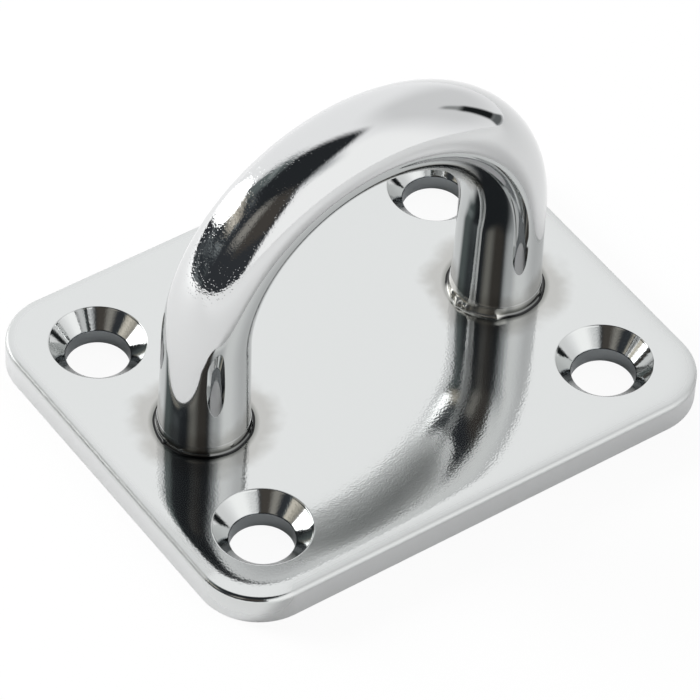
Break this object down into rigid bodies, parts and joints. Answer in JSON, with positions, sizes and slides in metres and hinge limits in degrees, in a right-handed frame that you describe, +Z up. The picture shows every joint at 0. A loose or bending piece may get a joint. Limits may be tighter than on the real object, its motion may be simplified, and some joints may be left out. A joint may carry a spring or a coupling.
{
  "type": "square pad eye",
  "caption": "Rectangular countersunk deck plate with rounded corners, carrying a half-round bow of polished bar welded in at both feet.",
  "frame": {"origin": "centre of the base plate's bottom face", "axes": "+X along the plate's long side and the bow's span, +Y across the plate, +Z up from the deck through the bow"},
  "size_m": [0.05, 0.04, 0.0319],
  "materials": {
    "polished_plate": "mirror polished stainless steel sheet",
    "polished_bar": "mirror polished stainless steel bar",
    "polished_weld": "polished stainless steel weld metal",
    "ground_weld": "stainless steel weld metal ground flush"
  },
  "bodies": {
    "root": {"base_plate": "polished_plate", "bow": "polished_bar", "left_weld_bead": "polished_weld", "right_weld_bead": "polished_weld", "left_underside_weld": "ground_weld", "right_underside_weld": "ground_weld"}
  },
  "joints": []
}
